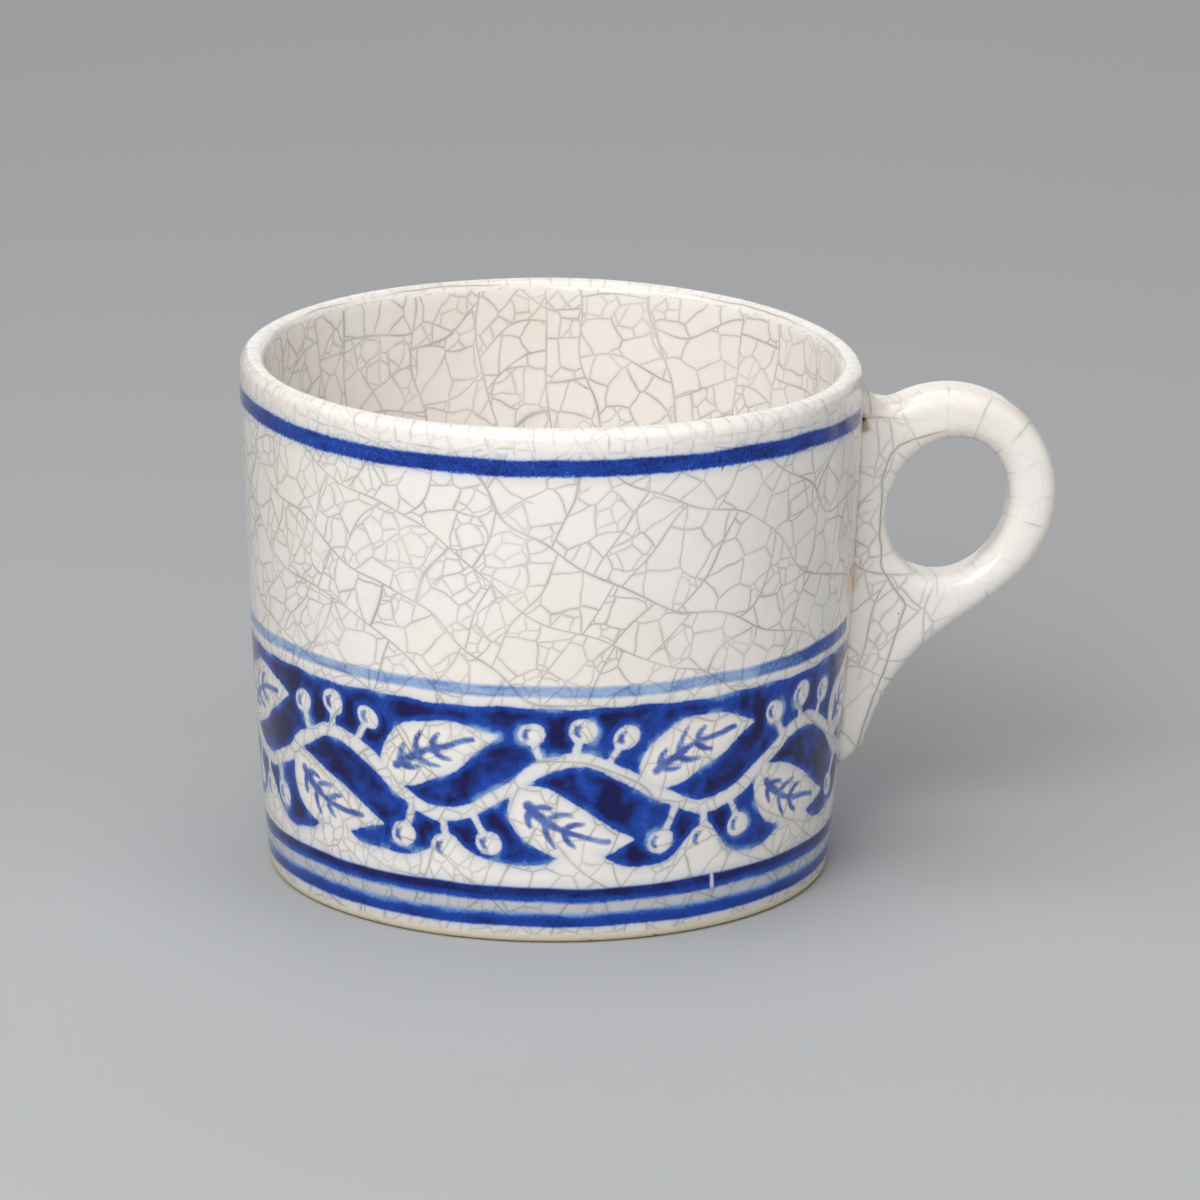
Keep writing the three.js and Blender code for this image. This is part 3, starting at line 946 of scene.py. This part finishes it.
def joined_clay(cup, handle):
    """The handle luted to a patch of wall, and the joint smoothed as with a wet finger."""
    clay = press_handle(cup, handle)
    patch = wall_former(cup, -0.2 * MM, 3 * MM, 92 * MM)
    # Only the strip of wall behind the handle is kept.
    clear_selection()
    bpy.ops.mesh.primitive_cube_add(size=1, location=(51 * MM, 0, 48 * MM))
    block = bpy.context.active_object
    block.scale = (22 * MM, 30 * MM, 84 * MM)
    apply_placing()
    boolean(patch, block, "INTERSECT")
    select_only(clay, patch)
    bpy.ops.object.join()
    apply_modifier(clay, "REMESH", mode="VOXEL", voxel_size=handle.voxel)
    points = mesh_points(clay)
    _, radius = polar(points)
    off_wall = radius - side_radius(points[:, 2], cup)
    normals = np.empty(len(clay.data.vertices) * 3)
    clay.data.vertices.foreach_get("normal", normals)
    normals = normals.reshape(-1, 3)
    outward = points * (1, 1, 0) / radius[:, None]
    along_wall = normals - outward * np.sum(normals * outward, axis=1)[:, None]
    fade = np.exp(-np.clip(off_wall, 0, None) / (1.2 * MM))
    flare = np.where(off_wall > -0.1 * MM, fade, 0) * handle.flare
    set_points(clay, points + along_wall * flare[:, None])
    # The smoothing is full at the joint, and a fifth as strong from 6 mm off the wall.
    near = 1 - 0.8 * smooth_step(2.5 * MM, 6 * MM, off_wall)
    group = clay.vertex_groups.new(name="seam")
    for level in range(1, 11):
        chosen = np.nonzero(np.round(near * 10) == level)[0]
        group.add(chosen.tolist(), level / 10, "REPLACE")
    apply_modifier(clay, "SMOOTH", factor=0.5, iterations=24, vertex_group="seam")
    clay.vertex_groups.clear()
    return clay


def mark_seam_crack(piece):
    """Writes how far each point lies to the side of the long crack beside the hole and down the tail.

    The crack runs through the places, in millimetres from the axis, at the heights above the foot.
    """
    heights = (12, 17.7, 20.9, 30.6, 38.4, 41.9, 47.5, 55.3, 62.8, 66.6, 68.4, 69.4, 70)
    places = (46.5, 48.7, 49.3, 52.5, 54.9, 56.0, 51.9, 51.7, 52.0, 53.0, 55.2, 59, 64)
    points = mesh_points(piece) / MM
    steps = np.linspace(heights[0], heights[-1], 200)
    smooth = np.convolve(np.pad(np.interp(steps, heights, places), 3, "edge"), np.ones(7) / 7, "valid")
    slope = np.gradient(smooth, steps)
    aside = points[:, 0] - np.interp(points[:, 2], steps, smooth)
    write_attribute(piece, "seam_crack", aside / np.sqrt(1 + np.interp(points[:, 2], steps, slope) ** 2))


class MUG_OT_handle(bpy.types.Operator):
    """Press the handle, lute it to the cup, and part it from its slip"""

    bl_idname = "mug.handle"
    bl_label = "Press and join the handle"

    def execute(self, context):
        cup = context.scene.mug_cup
        sizes = context.scene.mug_handle
        colours = context.scene.mug_colours
        low, high = -20 * MM, 110 * MM
        clay = joined_clay(cup, sizes)
        slip = clay.copy()
        slip.data = clay.data.copy()
        link(slip)
        boolean(clay, wall_former(cup, sizes.slip, low, high), "DIFFERENCE")
        boolean(slip, wall_former(cup, sizes.slip, low, high), "INTERSECT")
        boolean(slip, wall_former(cup, -0.08 * MM, low, high), "DIFFERENCE")
        for piece in (clay, slip):
            mark_seam_crack(piece)
        glaze = glaze_finish("glazed_handle", colours, handle_cracks)
        finish_piece(clay, "handle_ring", "handle", glaze)
        seam = glaze_finish("slip_seam", colours, handle_cracks)
        finish_piece(slip, "slip_seam", "luting_slip", seam)
        return {"FINISHED"}


def lamp(name, size, energy, place, shade):
    """A square lamp that looks at the middle of the cup."""
    aim = (0, 0, 0.04)
    data = bpy.data.lights.new(name, "AREA")
    data.shape = "RECTANGLE"
    data.size, data.size_y = size, size
    data.energy = energy
    data.color = shade
    light = bpy.data.objects.new(name, data)
    light.location = place
    light.rotation_euler = (Vector(aim) - Vector(place)).to_track_quat("-Z", "Y").to_euler()
    link(light)


def stand_floor():
    """A plain pale floor, wide enough to be the backdrop too."""
    clear_selection()
    bpy.ops.mesh.primitive_plane_add(size=12, location=(0, 0, 0))
    floor = bpy.context.active_object
    floor.name = "floor"
    finish = Finish("floor", Roughness=0.9)
    finish.set("Base Color", (*linear(176, 178, 180), 1))
    floor.data.materials.append(finish.material)


def place_camera():
    """The camera of the photograph: a long lens a little above the rim, with the handle slightly behind."""
    lens_pixels, frame_pixels, sensor = 8460.6, 1200, 36.0
    distance, height_angle = 1.3452, math.radians(17.966)
    turn, pan, pitch, roll = (math.radians(angle) for angle in (-6, -0.1213, 16.234, 0.513))
    data = bpy.data.cameras.new("camera")
    data.sensor_width = sensor
    data.lens = lens_pixels / frame_pixels * sensor
    camera = bpy.data.objects.new("camera", data)
    link(camera)
    stand = Vector((5.18 * MM, -distance * math.cos(height_angle), distance * math.sin(height_angle)))
    around = Matrix.Rotation(turn, 4, "Z")
    tilt = Matrix.Rotation(math.pi / 2 - pitch, 4, "X")
    aimed = Matrix.Rotation(pan, 4, "Z") @ tilt @ Matrix.Rotation(roll, 4, "Z")
    camera.matrix_world = around @ Matrix.Translation(stand) @ aimed
    bpy.context.scene.camera = camera


class MUG_OT_stage(bpy.types.Operator):
    """Set the floor, the lamps and the camera"""

    bl_idname = "mug.stage"
    bl_label = "Set the stage"

    def execute(self, context):
        stand_floor()
        for name, size, energy, place, shade in (
            ("key", 0.7, 11.2, (-0.433, -0.928, 0.757), WARM),
            ("side", 0.7, 3.5, (-0.755, -0.275, 0.998), WARM),
            ("front", 0.9, 1.3, (0.102, -1.17, 0.468), PLAIN),
            ("fill", 0.9, 2.0, (1.071, -0.569, 0.342), COOL),
            ("high fill", 0.8, 1.6, (0.568, -0.677, 0.924), COOL),
            ("top", 0.8, 4.5, (0.0, 0.1, 1.3), PLAIN),
            ("back", 1.0, 3.0, (0.25, 1.16, 0.5), PLAIN),
        ):
            lamp(name, size, energy, place, shade)
        world = bpy.data.worlds.new("studio")
        world.use_nodes = True
        background = world.node_tree.nodes["Background"]
        background.inputs["Color"].default_value = (*linear(215, 218, 222), 1)
        background.inputs["Strength"].default_value = 0.115
        context.scene.world = world
        context.scene.view_settings.view_transform = "Standard"
        place_camera()
        return {"FINISHED"}


class MUG_PT_panel(bpy.types.Panel):
    """Sizes, colours and steps of the mug"""

    bl_label = "Mug"
    bl_idname = "MUG_PT_panel"
    bl_space_type = "VIEW_3D"
    bl_region_type = "UI"
    bl_category = "Mug"

    def draw(self, context):
        column = self.layout.column()
        for operator in (MUG_OT_stage, MUG_OT_cup, MUG_OT_handle):
            column.operator(operator.bl_idname)
        for name in GROUPS:
            group = getattr(context.scene, name)
            for prop in group.bl_rna.properties:
                if prop.identifier not in ("rna_type", "name"):
                    column.prop(group, prop.identifier)


GROUPS = {
    "mug_cup": CupSizes,
    "mug_handle": HandleSizes,
    "mug_border": BorderSizes,
    "mug_colours": GlazeColours,
}
CLASSES = (*GROUPS.values(), MUG_OT_cup, MUG_OT_handle, MUG_OT_stage, MUG_PT_panel)


def register():
    for item in CLASSES:
        bpy.utils.register_class(item)
    for name, group in GROUPS.items():
        setattr(bpy.types.Scene, name, PointerProperty(type=group))


def unregister():
    for name in GROUPS:
        delattr(bpy.types.Scene, name)
    for item in reversed(CLASSES):
        bpy.utils.unregister_class(item)


def main():
    register()
    bpy.ops.mug.stage()
    bpy.ops.mug.cup()
    bpy.ops.mug.handle()


if __name__ == "__main__":
    main()
